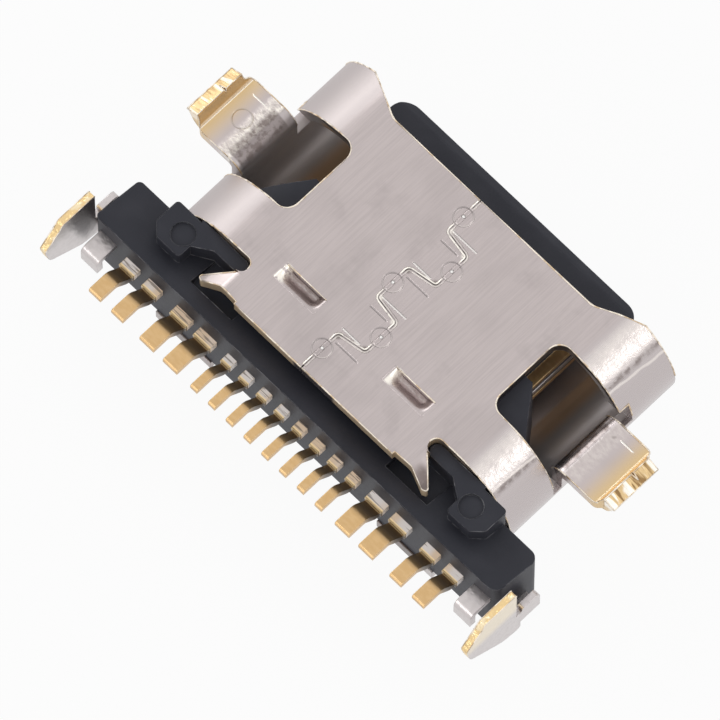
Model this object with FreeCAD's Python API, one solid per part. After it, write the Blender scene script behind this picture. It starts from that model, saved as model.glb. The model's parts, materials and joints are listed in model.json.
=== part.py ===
import FreeCAD, Part
import math
import os

# Mid-mount receptacle of the reversible 24-position kind, with sixteen contacts.
# X runs along the row of contacts, +Y points out of the mouth, +Z is up.
# The origin lies on the shell's flat bottom, below the middle of its top sheet. Millimetres.

V = FreeCAD.Vector

# Shell: one folded sheet
sheet = 0.30
shell_width = 9.30
shell_height = 3.16
top_length = 5.00
ear_reach = 0.50
ear_root_x = 2.80
ear_tip_x = 3.80
ear_bend = 0.45
rear_mid_half_width = 2.22
rear_tab_outer_x = 3.22
rear_tab_fold_x = 2.58
rear_tab_edge_y = -2.44
rear_ear_y = -1.60
rear_side_y = -1.62
rear_slot_inner_x = 2.56
rear_slot_depth = 0.36
bottom_rear_y = -1.74
bottom_tab_inner_x = 2.35
bottom_tab_outer_x = 3.90
bottom_tab_bend = 0.25
tab_drop = 0.34
tab_bend = 0.22

# Seam in the middle of the top sheet
seam_gap = 0.03
seam_teeth = 5
seam_first_y = -1.92
seam_pitch = 0.985
seam_tooth = 0.89
seam_swing = 0.33
seam_corner = 0.10

# Windows and wings in the round sides
window_inner_x = 2.84
window_back_y = -0.41
window_front_y = 1.55
window_corner = 0.30
relief_front_y = 1.80
relief_height = 0.62
wing_back_y = -0.18
wing_front_y = 1.36
wing_top_z = 2.34
wing_bend = 0.24
wing_flat_end_x = 5.66
wing_tip_x = 5.86
wing_tip_rise = 0.42
wing_tip_back_y = -0.08
wing_tip_front_y = 1.15
wing_tip_bend = 0.18
notch_width = 0.22
notch_depth = 0.16
notch_y = 0.70

# Lanced bridges that lock the shell to the moulding
lance_x = 1.52
lance_y = -1.34
lance_length = 1.10
lance_width = 0.38
lance_slope = 0.24
lance_drop = 0.26
lance_sheet = 0.18
lance_slit = 0.03

# Tongue
tongue_width = 6.69
tongue_thickness = 0.70
tongue_tip_y = 3.39
tongue_corner = 0.42
tongue_edge = 0.10
latch_half_width = 2.86
latch_front_y = 2.05
latch_slope = 0.20

# Moulded body
seat_clearance = 0.01
base_front_y = 0.60
base_taper_x = 3.78
base_taper_y = -0.36
bar_length = 11.24
bar_front_y = -1.78
bar_back_y = -3.02
bar_bottom_z = 0.62
bar_top_z = 2.70
bar_step_z = 2.38
bar_corner = 0.22
block_inner_x = 3.76
block_outer_x = 4.62
block_front_y = -1.69
block_back_y = -2.53
block_top_z = 2.94
block_edge = 0.08
block_mark_x = 4.04
block_mark_y = -2.12
block_mark_radius = 0.26
block_mark_depth = 0.05
finger_front_y = -1.63
finger_back_y = -1.94
finger_tip_x = 2.62
finger_root_x = 3.35

# Middle plate and its end legs
plate = 0.15
plate_half_width = 2.88
plate_front_y = 3.05
plate_rear_y = -1.95
shoulder_front_y = -1.90
leg_arm_front_y = -2.14
leg_arm_back_y = -2.68
leg_outer_x = 6.00
leg_top_z = 2.95
leg_back_top_z = 2.30
leg_arm_z = 1.08
leg_step_x = 5.20
leg_back_y = -4.20
leg_bend = 0.18
rear_tab_back_y = -3.50
rear_tab_z = 2.06
rear_tab_width = 0.46
rear_tab_x = 5.25
rear_tab_lip = 0.46
rear_tab_bend = 0.11

# Contacts
contact = 0.15
contact_width = 0.24
contact_front_y = 2.75
contact_lift = 0.12
lead_width = 0.20
fan_front_y = 0.20
fan_back_y = -2.22
riser_y = -2.30
board_z = 2.30
ramp_start_y = -3.30
ramp_end_y = -3.62
foot_end_y = -4.10
foot_edge = 0.04
slot_clearance = 0.08
stub_extra = 0.03
stub_rise = 0.08
stub_end_y = -3.24
lead_bend = 0.16
insert_half_width = 2.98
insert_front_y = 2.60
insert_rear_y = -1.75

signal_foot = 0.19
power_foot = 0.40
ground_foot = 0.33

# Tongue position, tail position and tail width of each contact, by side and name
upper_contacts = {
    "ground_left": (-2.75, -4.545, ground_foot), "power_left": (-1.25, -3.08, power_foot),
    "config": (-0.75, -1.25, signal_foot), "data_plus": (-0.25, -0.25, signal_foot),
    "data_minus": (0.25, 0.25, signal_foot), "sideband": (0.75, 1.25, signal_foot),
    "power_right": (1.25, 3.08, power_foot), "ground_right": (2.75, 4.545, ground_foot)}
lower_contacts = {
    "ground_left": (-2.75, -3.915, ground_foot), "power_left": (-1.25, -2.42, power_foot),
    "sideband": (-0.75, -1.75, signal_foot), "data_minus": (-0.25, -0.75, signal_foot),
    "data_plus": (0.25, 0.75, signal_foot), "config": (0.75, 1.75, signal_foot),
    "power_right": (1.25, 2.42, power_foot), "ground_right": (2.75, 3.915, ground_foot)}

half_width = shell_width / 2
middle_z = shell_height / 2
top_back_y = -top_length / 2
top_front_y = top_length / 2
mouth_y = top_front_y + ear_reach
upper_top_z = middle_z + tongue_thickness / 2
lower_bottom_z = middle_z - tongue_thickness / 2
far = 20.0


def outline(points, place):
    """A closed wire through (u, v, radius) corners; each corner is rounded with its radius."""
    count = len(points)
    starts, ends, mids = [], [], []
    for i, (u, v, radius) in enumerate(points):
        corner = V(u, v, 0)
        before = V(*points[i - 1][:2], 0) - corner
        after = V(*points[(i + 1) % count][:2], 0) - corner
        before.normalize()
        after.normalize()
        half_angle = before.getAngle(after) / 2
        if radius <= 0 or half_angle > math.pi / 2 - 1e-4:
            starts.append(corner)
            ends.append(corner)
            mids.append(None)
            continue
        reach = radius / math.tan(half_angle)
        centre = corner + (before + after).normalize() * (radius / math.sin(half_angle))
        starts.append(corner + before * reach)
        ends.append(corner + after * reach)
        mids.append(centre + (corner - centre).normalize() * radius)
    edges = []
    for i in range(count):
        if mids[i] is not None:
            edges.append(Part.Arc(place(starts[i]), place(mids[i]), place(ends[i])).toShape())
        following = starts[(i + 1) % count]
        if ends[i].distanceToPoint(following) > 1e-6:
            edges.append(Part.makeLine(place(ends[i]), place(following)))
    return Part.Wire(edges)


def along_x(points, x0, x1):
    """A (y, z, radius) outline carried from x0 to x1."""
    wire = outline(points, lambda p: V(x0, p.x, p.y))
    return Part.Face(wire).extrude(V(x1 - x0, 0, 0))


def along_y(points, y0, y1):
    """An (x, z, radius) outline carried from y0 to y1."""
    wire = outline(points, lambda p: V(p.x, y0, p.y))
    return Part.Face(wire).extrude(V(0, y1 - y0, 0))


def along_z(points, z0, z1):
    """An (x, y, radius) outline carried from z0 to z1."""
    wire = outline(points, lambda p: V(p.x, p.y, z0))
    return Part.Face(wire).extrude(V(0, 0, z1 - z0))


def block(x0, x1, y0, y1, z0, z1):
    return Part.makeBox(x1 - x0, y1 - y0, z1 - z0, V(x0, y0, z0))


def bent_strip(path, thickness):
    """The outline of a strip of even thickness whose centre line is a (u, v, bend radius) path."""
    left, right = [], []
    last = len(path) - 1
    for i, (u, v, radius) in enumerate(path):
        here = V(u, v, 0)
        step_in = here - V(*path[i - 1][:2], 0) if i > 0 else None
        step_out = V(*path[i + 1][:2], 0) - here if i < last else None
        ahead = (step_in or step_out).normalize()
        onward = (step_out or step_in).normalize()
        side_in = V(-ahead.y, ahead.x, 0)
        side_out = V(-onward.y, onward.x, 0)
        mitre = (side_in + side_out).normalize()
        reach = thickness / 2 / mitre.dot(side_in)
        turn = ahead.x * onward.y - ahead.y * onward.x
        grow = thickness / 2 if turn < 0 else -thickness / 2
        bend = radius if 0 < i < last else 0
        left.append((here.x + mitre.x * reach, here.y + mitre.y * reach, bend + grow if bend else 0))
        right.append((here.x - mitre.x * reach, here.y - mitre.y * reach, bend - grow if bend else 0))
    return left + right[::-1]


def mirrored(shape):
    return shape.mirror(V(0, 0, 0), V(1, 0, 0))


def both_sides(shape):
    return [shape, mirrored(shape)]


def joined(shapes):
    return shapes[0].multiFuse(shapes[1:]).removeSplitter()


def without(body, pieces):
    """The body with each of the pieces taken out of it, so that it fits them face to face."""
    for piece in pieces:
        body = body.cut(piece)
    return body.removeSplitter()


def tube(margin, y0, y1):
    """The flat-sided oval of the shell, drawn in by a margin, from y0 to y1."""
    low, high, side = margin, shell_height - margin, half_width - margin
    bend = (high - low) / 2
    points = [(-side, low, bend), (side, low, bend), (side, high, bend), (-side, high, bend)]
    return along_y(points, y0, y1)


def top_front_cut():
    """What is cut from the mouth's upper half: the recess between the two ears."""
    points = [(-ear_tip_x, mouth_y + 1, 0), (-ear_tip_x, mouth_y, 0), (-ear_root_x, top_front_y, ear_bend),
              (ear_root_x, top_front_y, ear_bend), (ear_tip_x, mouth_y, 0), (ear_tip_x, mouth_y + 1, 0)]
    return along_z(points, middle_z, shell_height + 1)


def top_rear_cut():
    """What is cut from the upper half behind each ear, with the round-ended slot beside the tab."""
    slot_back = rear_ear_y - rear_slot_depth
    end_bend = rear_slot_depth / 2 - 0.01
    points = [(half_width + 1, rear_side_y, 0), (half_width - 0.35, rear_side_y, 0),
              (half_width - 0.55, rear_ear_y, 0), (rear_slot_inner_x, rear_ear_y, end_bend),
              (rear_slot_inner_x, slot_back, end_bend), (rear_tab_outer_x, slot_back, 0.08),
              (rear_tab_outer_x - 0.04, -far / 2, 0), (half_width + 1, -far / 2, 0)]
    return along_z(points, middle_z, shell_height + 1)


def rear_tab():
    """The tab at one end of the top sheet's back edge, folded down towards its outer corner."""
    line_z = shell_height - sheet / 2
    root = rear_mid_half_width - 0.1
    slot_back = rear_ear_y - rear_slot_depth
    path = [(root, line_z, 0), (rear_tab_fold_x, line_z, tab_bend),
            (rear_tab_outer_x + 0.1, line_z - tab_drop, 0)]
    strip = along_y(bent_strip(path, sheet), top_back_y - 0.2, slot_back + 0.03)
    plan = [(root, rear_tab_edge_y, 0), (root, slot_back + 0.03, 0),
            (rear_slot_inner_x + 0.06, slot_back + 0.03, 0),
            (rear_tab_outer_x, top_back_y, 0.05), (rear_tab_outer_x - 0.12, top_back_y - 0.06, 0.03),
            (rear_tab_fold_x + 0.1, rear_tab_edge_y + 0.03, 0.2)]
    return strip.common(along_z(plan, 0, shell_height))


def bottom_tab():
    """The tab behind the floor of the shell, stepped up to hold the bar from below."""
    line_z = sheet / 2
    raised_z = bar_bottom_z - sheet / 2 - seat_clearance
    path = [(bottom_rear_y + 0.2, line_z, 0), (bottom_rear_y - 0.05, line_z, bottom_tab_bend),
            (bottom_rear_y - 0.35, raised_z, bottom_tab_bend), (bar_back_y - 0.04, raised_z, 0)]
    return along_x(bent_strip(path, sheet), bottom_tab_inner_x, bottom_tab_outer_x)


def seam_slit():
    """The zigzag slit where the sheet's two edges interlock, as dovetails of even pitch."""
    points = [(-seam_swing, top_back_y - 0.5, 0)]
    for tooth in range(seam_teeth):
        x = -seam_swing if tooth % 2 == 0 else seam_swing
        centre = seam_first_y + tooth * seam_pitch
        if tooth > 0:
            points.append((x, centre - seam_tooth / 2, seam_corner))
        if tooth < seam_teeth - 1:
            points.append((x, centre + seam_tooth / 2, seam_corner))
    points.append((-seam_swing, mouth_y + 0.5, 0))
    strip = bent_strip(points, seam_gap)
    return along_z(strip, shell_height - sheet * 1.5, shell_height + 0.5)


def window_cut():
    """One side window: the opening that the wing's flap leaves in the upper half of the round side."""
    out = half_width + 1
    plan = [(window_inner_x, window_back_y, window_corner), (out, window_back_y, 0),
            (out, window_front_y, 0), (window_inner_x, window_front_y, window_corner)]
    opening = along_z(plan, middle_z, shell_height + 1)
    relief = block(half_width - 3 * sheet, out, wing_front_y, relief_front_y,
                   middle_z - 0.05, middle_z + relief_height)
    back_relief = block(half_width - 2 * sheet, out, window_back_y, wing_back_y,
                        middle_z - 0.12, middle_z + 0.1)
    return joined([opening, relief, back_relief])


def wing():
    """The flap bent out of a window: up from the side wall, outward, and turned up at its sheared end."""
    line_x = half_width - sheet / 2
    line_z = wing_top_z - sheet / 2
    path = [(line_x, middle_z - 0.02, 0), (line_x, line_z, wing_bend),
            (wing_flat_end_x, line_z, wing_tip_bend), (wing_tip_x, line_z + wing_tip_rise, 0)]
    strip = along_y(bent_strip(path, sheet), wing_back_y, wing_front_y)
    plan = [(half_width - 1, wing_back_y, 0), (wing_flat_end_x - 0.1, wing_back_y, 0.2),
            (wing_flat_end_x, wing_tip_back_y, 0.1), (wing_tip_x + 1, wing_tip_back_y, 0),
            (wing_tip_x + 1, wing_tip_front_y, 0), (wing_flat_end_x, wing_tip_front_y, 0.05),
            (wing_flat_end_x - 0.06, wing_front_y, 0.14), (half_width - 1, wing_front_y, 0)]
    strip = strip.common(along_z(plan, 0, shell_height + 1))
    top = wing_top_z + wing_tip_rise
    notch = along_x([(notch_y - notch_width / 2, top + 0.1, 0), (notch_y, top - notch_depth, 0),
                     (notch_y + notch_width / 2, top + 0.1, 0)], wing_flat_end_x - 0.1, wing_tip_x + 1)
    return strip.cut(notch)


def lance_profile(grow):
    """The pressed-down bridge in section along X, thickened by a margin all round."""
    half = lance_length / 2
    line_z = shell_height - lance_sheet / 2 - 0.04
    path = [(lance_x - half, line_z, 0), (lance_x - half + lance_slope, line_z - lance_drop, 0.12),
            (lance_x + half - lance_slope, line_z - lance_drop, 0.12), (lance_x + half, line_z, 0)]
    return bent_strip(path, lance_sheet + 2 * grow)


def lance_opening():
    half = lance_length / 2
    low = shell_height - sheet - 0.05
    points = [(lance_x - half, shell_height + 0.1, 0), (lance_x - half + 0.02, shell_height, 0),
              (lance_x - half + lance_slope, low, 0), (lance_x + half - lance_slope, low, 0),
              (lance_x + half - 0.02, shell_height, 0), (lance_x + half, shell_height + 0.1, 0)]
    return along_y(points, lance_y - lance_width / 2, lance_y + lance_width / 2)


def lance_bridge():
    half = lance_width / 2 - lance_slit
    return along_y(lance_profile(0), lance_y - half, lance_y + half)


def shell():
    """The folded shell: tube, mouth, rear ears, tabs, windows, wings, lances and seam."""
    body = tube(0, top_back_y, mouth_y).cut(tube(sheet, top_back_y - 1, mouth_y + 1))
    lower_end = block(-far / 2, far / 2, -far / 2, bottom_rear_y, -1, middle_z)
    body = body.cut(lower_end)
    cuts = [top_front_cut()]
    for part in (top_rear_cut(), window_cut(), lance_opening()):
        cuts += both_sides(part)
    edge_y = rear_ear_y - rear_slot_depth
    cuts += both_sides(block(rear_mid_half_width, rear_tab_outer_x + 1, top_back_y - 1, edge_y,
                             middle_z, shell_height + 1))
    body = body.cut(Part.makeCompound(cuts))
    adds = []
    for part in (rear_tab(), wing(), lance_bridge(), bottom_tab()):
        adds += both_sides(part)
    body = joined([body] + adds)
    return body.cut(seam_slit()).removeSplitter()


def tongue_plan():
    """The tongue seen from above: wide at its tip and narrower behind, where the latches bite."""
    half = tongue_width / 2
    right = [(latch_half_width, base_front_y - 0.5, 0), (latch_half_width, latch_front_y, 0.05),
             (half, latch_front_y + latch_slope, 0.05), (half, tongue_tip_y, tongue_corner)]
    left = [(-x, y, bend) for x, y, bend in right[::-1]]
    return right + left


def tongue():
    body = along_z(tongue_plan(), lower_bottom_z, upper_top_z)
    tip = tongue_tip_y
    flat = tongue_thickness / 2 - tongue_edge
    nose = along_x([(base_front_y - 1, lower_bottom_z, 0), (tip - tongue_edge * 2, lower_bottom_z, 0),
                    (tip, middle_z - flat, 0), (tip, middle_z + flat, 0),
                    (tip - tongue_edge * 2, upper_top_z, 0), (base_front_y - 1, upper_top_z, 0)],
                   -tongue_width, tongue_width)
    return body.common(nose)


def base_block():
    """The part of the moulding that fills the shell behind the tongue, tapered at its sides."""
    filled = tube(sheet + seat_clearance, bar_front_y - 0.02, base_front_y)
    out = half_width + 1
    side = along_z([(latch_half_width + 0.1, base_front_y + 0.1, 0), (out, base_front_y + 0.1, 0),
                    (out, base_taper_y, 0), (base_taper_x, base_taper_y, 0.1)], -1, shell_height + 1)
    return filled.cut(Part.makeCompound(both_sides(side)))


def bar():
    """The thick rear bar, whose top rises towards its back."""
    half = bar_length / 2
    plan = [(-half, bar_back_y, bar_corner * 0.5), (half, bar_back_y, bar_corner),
            (half, bar_front_y, bar_corner), (-half, bar_front_y, bar_corner * 0.5)]
    profile = [(bar_back_y - 1, bar_bottom_z, 0), (bar_front_y + 1, bar_bottom_z, 0),
               (bar_front_y + 1, bar_step_z, 0), (bar_front_y, bar_step_z, 0),
               (bar_back_y, bar_top_z, 0), (bar_back_y - 1, bar_top_z, 0)]
    return along_z(plan, bar_bottom_z - 1, bar_top_z + 1).common(along_x(profile, -half - 1, half + 1))


def end_block():
    """A raised block near the bar's end, its round mark, and the finger that fills the shell's slot."""
    corner = 3 * block_edge
    plan = [(block_inner_x, block_back_y, block_edge), (block_outer_x - corner, block_back_y, block_edge),
            (block_outer_x, block_back_y + corner, block_edge), (block_outer_x, block_front_y, block_edge),
            (block_inner_x, block_front_y, block_edge)]
    body = along_z(plan, bar_step_z - 0.1, block_top_z)
    bend = (finger_front_y - finger_back_y) / 2 - 0.01
    wedge_y = (block_back_y + finger_back_y) / 2
    finger = along_z([(finger_tip_x, finger_back_y, bend), (finger_root_x, finger_back_y, 0),
                      (block_inner_x + 0.05, wedge_y, 0), (block_inner_x + 0.2, wedge_y, 0),
                      (block_inner_x + 0.2, finger_front_y, 0), (finger_tip_x, finger_front_y, bend)],
                     bar_step_z - 0.1, block_top_z)
    mark_base = V(block_mark_x, block_mark_y, block_top_z - block_mark_depth)
    mark = Part.makeCylinder(block_mark_radius, 1, mark_base)
    return body.fuse(finger).cut(mark)


def lance_pocket():
    """The pocket in the moulding under a lanced bridge."""
    half = lance_length / 2 - 0.02
    low = shell_height - 0.04 - lance_drop - lance_sheet - 2 * seat_clearance
    return block(lance_x - half, lance_x + half, lance_y - lance_width / 2 - seat_clearance,
                 lance_y + lance_width / 2 + 0.1, low, shell_height)


def floor_pocket():
    """Room in the base's lower back edge for the bend of a tab of the shell's floor."""
    return block(bottom_tab_inner_x - 0.02, bottom_tab_outer_x + 0.02, bar_front_y - 0.06, bottom_rear_y + 0.05,
                 0, sheet + 0.12)


def tab_pocket():
    """Room in the bar for a bent-down tab of the shell."""
    return block(rear_mid_half_width - 0.06, rear_tab_outer_x + 0.10, top_back_y - 0.14,
                 rear_ear_y - rear_slot_depth + 0.02, bar_step_z, shell_height)


def housing(metal):
    """The over-mould: bar, base and tongue in one, with the inserts and the metal taken out of it."""
    body = joined([bar(), base_block(), tongue()] + both_sides(end_block()))
    over_sheet = block(-finger_tip_x, finger_tip_x, top_back_y - 0.04, rear_ear_y,
                       shell_height - sheet - seat_clearance, shell_height + 1)
    cuts = [over_sheet, upper_insert(), lower_insert()]
    for part in (lance_pocket(), tab_pocket(), floor_pocket()):
        cuts += both_sides(part)
    return without(without(body, cuts), metal)


def insert(low, high):
    """A moulded insert that carries one row of contacts, inside the tongue."""
    half = insert_half_width
    neck = latch_half_width - 0.30
    right = [(neck, insert_rear_y, 0.05), (neck, latch_front_y + 0.22, 0.05),
             (half, latch_front_y + 0.37, 0.05), (half, insert_front_y, 0.06)]
    left = [(-x, y, bend) for x, y, bend in right[::-1]]
    return along_z(right + left, low, high)


def upper_insert():
    return insert(middle_z + plate / 2, upper_top_z)


def lower_insert():
    return insert(lower_bottom_z, middle_z - plate / 2)


def plate_leg():
    """One end leg of the middle plate: arm out of the bar's end, bent up into a leaf with a sheared top."""
    low = leg_arm_z - plate / 2
    line_x = leg_outer_x - plate / 2
    strip = along_y(bent_strip([(plate_half_width - 0.4, middle_z, 0), (leg_step_x - 0.3, middle_z, 0.05),
                                (leg_step_x, leg_arm_z, 0.05), (line_x, leg_arm_z, leg_bend),
                                (line_x, leg_top_z, 0)], plate), leg_arm_back_y, leg_arm_front_y)
    shelf_z = middle_z + 0.24
    notch_z = middle_z + 0.08
    leaf_points = [(leg_arm_front_y, low + leg_bend, 0), (leg_arm_front_y, shelf_z, 0.15),
                   (leg_arm_back_y + 0.04, shelf_z, 0.04), (leg_arm_back_y + 0.04, notch_z, 0.03),
                   (leg_arm_back_y - 0.12, notch_z, 0.04), (leg_arm_back_y - 0.12, leg_top_z, 0.05),
                   (leg_back_y + 0.52, leg_top_z, 0.1), (leg_back_y + 0.40, leg_top_z - 0.2, 0.1),
                   (leg_back_y, leg_back_top_z, 0.18), (leg_back_y + 0.12, middle_z + 0.1, 0.4),
                   (leg_arm_back_y - 0.5, low - 0.04, 0.5), (leg_arm_back_y, low - 0.16, 0.1),
                   (leg_arm_back_y, low + leg_bend, 0)]
    leaf = along_x(leaf_points, leg_outer_x - plate, leg_outer_x)
    upright = block(line_x - plate, leg_outer_x + 0.1, leg_arm_back_y - 1, leg_arm_front_y + 1,
                    low + leg_bend + plate / 2, far)
    arm = strip.cut(upright)
    return arm.fuse(leaf)


def plate_tab():
    """The tab behind the bar beside a leg: stepped up inside the bar, flat behind it and folded down."""
    path = [(leg_arm_back_y + 0.2, middle_z, 0), (leg_arm_back_y - 0.02, middle_z, 0.04),
            (leg_arm_back_y - 0.26, rear_tab_z, 0.04), (rear_tab_back_y, rear_tab_z, rear_tab_bend),
            (rear_tab_back_y, rear_tab_z - rear_tab_lip, 0)]
    return along_x(bent_strip(path, plate), rear_tab_x - rear_tab_width / 2, rear_tab_x + rear_tab_width / 2)


def middle_plate():
    """The plate between the two rows of contacts, with latch edges, slots and end legs."""
    low, high = middle_z - plate / 2, middle_z + plate / 2
    front = tongue_width / 2 - 0.15
    right = [(plate_half_width, plate_rear_y, 0), (plate_half_width, latch_front_y + 0.02, 0.05),
             (front, latch_front_y + latch_slope + 0.05, 0.05), (front, plate_front_y, 0.3)]
    left = [(-x, y, bend) for x, y, bend in right[::-1]]
    body = along_z(right + left, low, high)
    shoulder = block(plate_half_width - 0.2, rear_tab_x + rear_tab_width / 2, leg_arm_back_y, shoulder_front_y,
                     low, high)
    parts = [body]
    for part in (shoulder, plate_leg(), plate_tab()):
        parts += both_sides(part)
    return without(joined(parts), riser_slots())


def riser_slots():
    """The slots of the plate through which the wide lower contacts rise to their tails."""
    slots = []
    for name in ("power_right", "ground_right"):
        tail_x, width = lower_contacts[name][1:]
        reach = width / 2 + slot_clearance
        slots += both_sides(block(tail_x - reach, tail_x + reach, riser_y - contact / 2 - slot_clearance,
                                  riser_y + contact / 2 + slot_clearance, middle_z - plate, middle_z + plate))
    return slots


def contact_solid(tongue_x, tail_x, foot_width, side):
    """One contact: beam on the tongue, fan to its tail's place, riser or straight run, ramp and foot."""
    surface = middle_z + side * tongue_thickness / 2
    line_z = surface - side * contact / 2
    exit_z = upper_top_z - contact / 2
    half = contact_width / 2
    lead = lead_width / 2
    wide = foot_width / 2
    beam = [(contact_front_y, line_z - side * contact_lift, 0), (contact_front_y - 0.2, line_z, 0),
            (fan_front_y, line_z, 0)]
    pieces = [along_x(bent_strip(beam, contact), tongue_x - half, tongue_x + half)]
    low, high = line_z - contact / 2, line_z + contact / 2
    plan = [(tongue_x + half, fan_front_y + 0.02, 0), (tongue_x - half, fan_front_y + 0.02, 0),
            (tongue_x - lead, fan_front_y - 0.2, 0), (tail_x - lead, fan_back_y, 0),
            (tail_x - lead, riser_y, 0), (tail_x + lead, riser_y, 0),
            (tail_x + lead, fan_back_y, 0), (tongue_x + lead, fan_front_y - 0.2, 0)]
    pieces.append(along_z(plan, low, high))
    foot_z = board_z - contact / 2
    path = [(riser_y + contact / 2, exit_z, 0), (ramp_start_y, exit_z, lead_bend),
            (ramp_end_y, foot_z, lead_bend), (foot_end_y, foot_z, 0)]
    if side < 0:
        path = [(riser_y, line_z - contact / 2, 0), (riser_y, exit_z, contact / 2 + 0.02)] + path[1:]
    tail = along_x(bent_strip(path, contact), tail_x - wide, tail_x + wide)
    pieces.append(block(tail_x - wide - stub_extra, tail_x + wide + stub_extra, stub_end_y, bar_back_y + 0.1,
                        exit_z - contact / 2, exit_z + contact / 2 + stub_rise))
    bevel = along_x([(foot_end_y - 0.1, board_z + 0.1, 0), (foot_end_y - 0.1, board_z - foot_edge, 0),
                     (foot_end_y, board_z - foot_edge, 0), (foot_end_y + foot_edge, board_z, 0),
                     (foot_end_y + foot_edge, board_z + 0.1, 0)], tail_x - 1, tail_x + 1)
    pieces.append(tail.cut(bevel))
    return joined(pieces)


def save(shape, name):
    shape.exportStep("parts/" + name + ".step")


def main():
    os.makedirs("parts", exist_ok=True)
    metal = {"middle_plate": middle_plate()}
    for row, side, group in (("upper", 1, upper_contacts), ("lower", -1, lower_contacts)):
        for name, (tongue_x, tail_x, foot_width) in group.items():
            metal[row + "_contact_" + name] = contact_solid(tongue_x, tail_x, foot_width, side)
    save(shell(), "shell")
    save(without(upper_insert(), metal.values()), "upper_contact_insert")
    save(without(lower_insert(), metal.values()), "lower_contact_insert")
    save(housing(metal.values()), "rear_housing")
    for name, shape in metal.items():
        save(shape, name)


main()
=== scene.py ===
import json
import math
import bmesh
import bpy
import numpy as np
from mathutils import Matrix, Vector


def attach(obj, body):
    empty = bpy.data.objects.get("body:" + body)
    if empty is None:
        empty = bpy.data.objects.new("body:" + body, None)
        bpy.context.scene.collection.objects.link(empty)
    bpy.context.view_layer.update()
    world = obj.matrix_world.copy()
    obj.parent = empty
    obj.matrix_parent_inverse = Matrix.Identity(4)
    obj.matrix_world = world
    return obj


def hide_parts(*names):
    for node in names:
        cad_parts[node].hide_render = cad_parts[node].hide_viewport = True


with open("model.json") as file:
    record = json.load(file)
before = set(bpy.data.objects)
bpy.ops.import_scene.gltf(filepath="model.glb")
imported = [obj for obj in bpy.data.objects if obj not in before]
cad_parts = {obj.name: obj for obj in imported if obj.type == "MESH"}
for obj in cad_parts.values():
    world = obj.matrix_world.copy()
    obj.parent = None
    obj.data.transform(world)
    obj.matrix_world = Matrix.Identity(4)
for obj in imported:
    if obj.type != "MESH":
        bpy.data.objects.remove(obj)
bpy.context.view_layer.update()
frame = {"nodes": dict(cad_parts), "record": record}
nodes = frame["nodes"]
mm = 0.001
print("frame loaded:", len(nodes), "nodes")


class Wire:
    # one output socket; arithmetic on it adds Math nodes
    def __init__(self, tree, socket=None):
        self.tree, self.socket = tree, socket

    # any node: its type, its settings, then the values or links of its sockets
    def add(self, kind, settings=None, sockets=None, out=0):
        made = self.tree.nodes.new(kind)
        for name, value in (settings or {}).items():
            if name == "stops":
                ramp = made.color_ramp
                while len(ramp.elements) < len(value):
                    ramp.elements.new(0.5)
                for element, (position, colour) in zip(ramp.elements, value):
                    element.position, element.color = position, (*colour, 1)
            else:
                setattr(made, name, value)
        for key, value in (sockets or {}).items():
            if isinstance(value, Wire):
                self.tree.links.new(value.socket, made.inputs[key])
            else:
                made.inputs[key].default_value = value
        return Wire(self.tree, made.outputs[out] if len(made.outputs) else None)

    def maths(self, operation, *values):
        return self.add("ShaderNodeMath", {"operation": operation}, dict(enumerate(values)))

    def __add__(self, other): return self.maths("ADD", self, other)
    def __radd__(self, other): return self.maths("ADD", other, self)
    def __sub__(self, other): return self.maths("SUBTRACT", self, other)
    def __rsub__(self, other): return self.maths("SUBTRACT", other, self)
    def __mul__(self, other): return self.maths("MULTIPLY", self, other)
    def __rmul__(self, other): return self.maths("MULTIPLY", other, self)
    def __truediv__(self, other): return self.maths("DIVIDE", self, other)
    def __abs__(self): return self.maths("ABSOLUTE", self)
    def __pow__(self, other): return self.maths("POWER", self, other)

    # 0 below low, 1 above high, smooth between
    def rise(self, low, high):
        return self.add("ShaderNodeMapRange", {"interpolation_type": "SMOOTHSTEP"},
                        {"Value": self, "From Min": low, "From Max": high})

    # 1 between low and high, fading over soft at both ends
    def band(self, low, high, soft):
        return self.rise(low - soft, low + soft) * (1 - self.rise(high - soft, high + soft))

    # the colour turned towards another by a mask
    def tint(self, mask, colour, blend="MIX"):
        return self.add("ShaderNodeMix", {"data_type": "RGBA", "blend_type": blend},
                        {0: mask, 6: self, 7: colour if isinstance(colour, Wire) else (*colour, 1)}, 2)


# a plain colour as the start of a chain of tints
def paint(wire, colour):
    return wire.add("ShaderNodeMix", {"data_type": "RGBA"}, {0: 0.0, 6: (*colour, 1), 7: (*colour, 1)}, 2)


# the object's own coordinates in millimetres, stretched along each axis
def place(wire, stretch=(1, 1, 1)):
    own = wire.add("ShaderNodeTexCoord", out=3)
    scale = tuple(1000 * s for s in stretch)
    return wire.add("ShaderNodeVectorMath", {"operation": "MULTIPLY"}, {0: own, 1: scale})


def axes(wire):
    split = wire.add("ShaderNodeSeparateXYZ", {}, {0: place(wire)})
    outs = split.socket.node.outputs
    return [Wire(wire.tree, outs[k]) for k in range(3)]


def noise(wire, stretch, scale=1.0, detail=3.0, rough=0.55):
    return wire.add("ShaderNodeTexNoise", {}, {"Vector": place(wire, stretch), "Scale": scale,
                                              "Detail": detail, "Roughness": rough})


# distance in the top view from one point, in millimetres
def reach(x, y, cx, cy):
    return x.maths("SQRT", (x - cx) * (x - cx) + (y - cy) * (y - cy))


def startMaterial(name):
    made = bpy.data.materials.new(name)
    made.use_nodes = True
    made.node_tree.nodes.clear()
    return made, Wire(made.node_tree)


# the size of one part of the true face's normal: 0 for X, 2 for Z, where 1 is lying flat
def facing(wire, axis):
    own = wire.add("ShaderNodeNewGeometry", out=3)
    return abs(wire.add("ShaderNodeSeparateXYZ", {}, {0: own}, axis))


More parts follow.
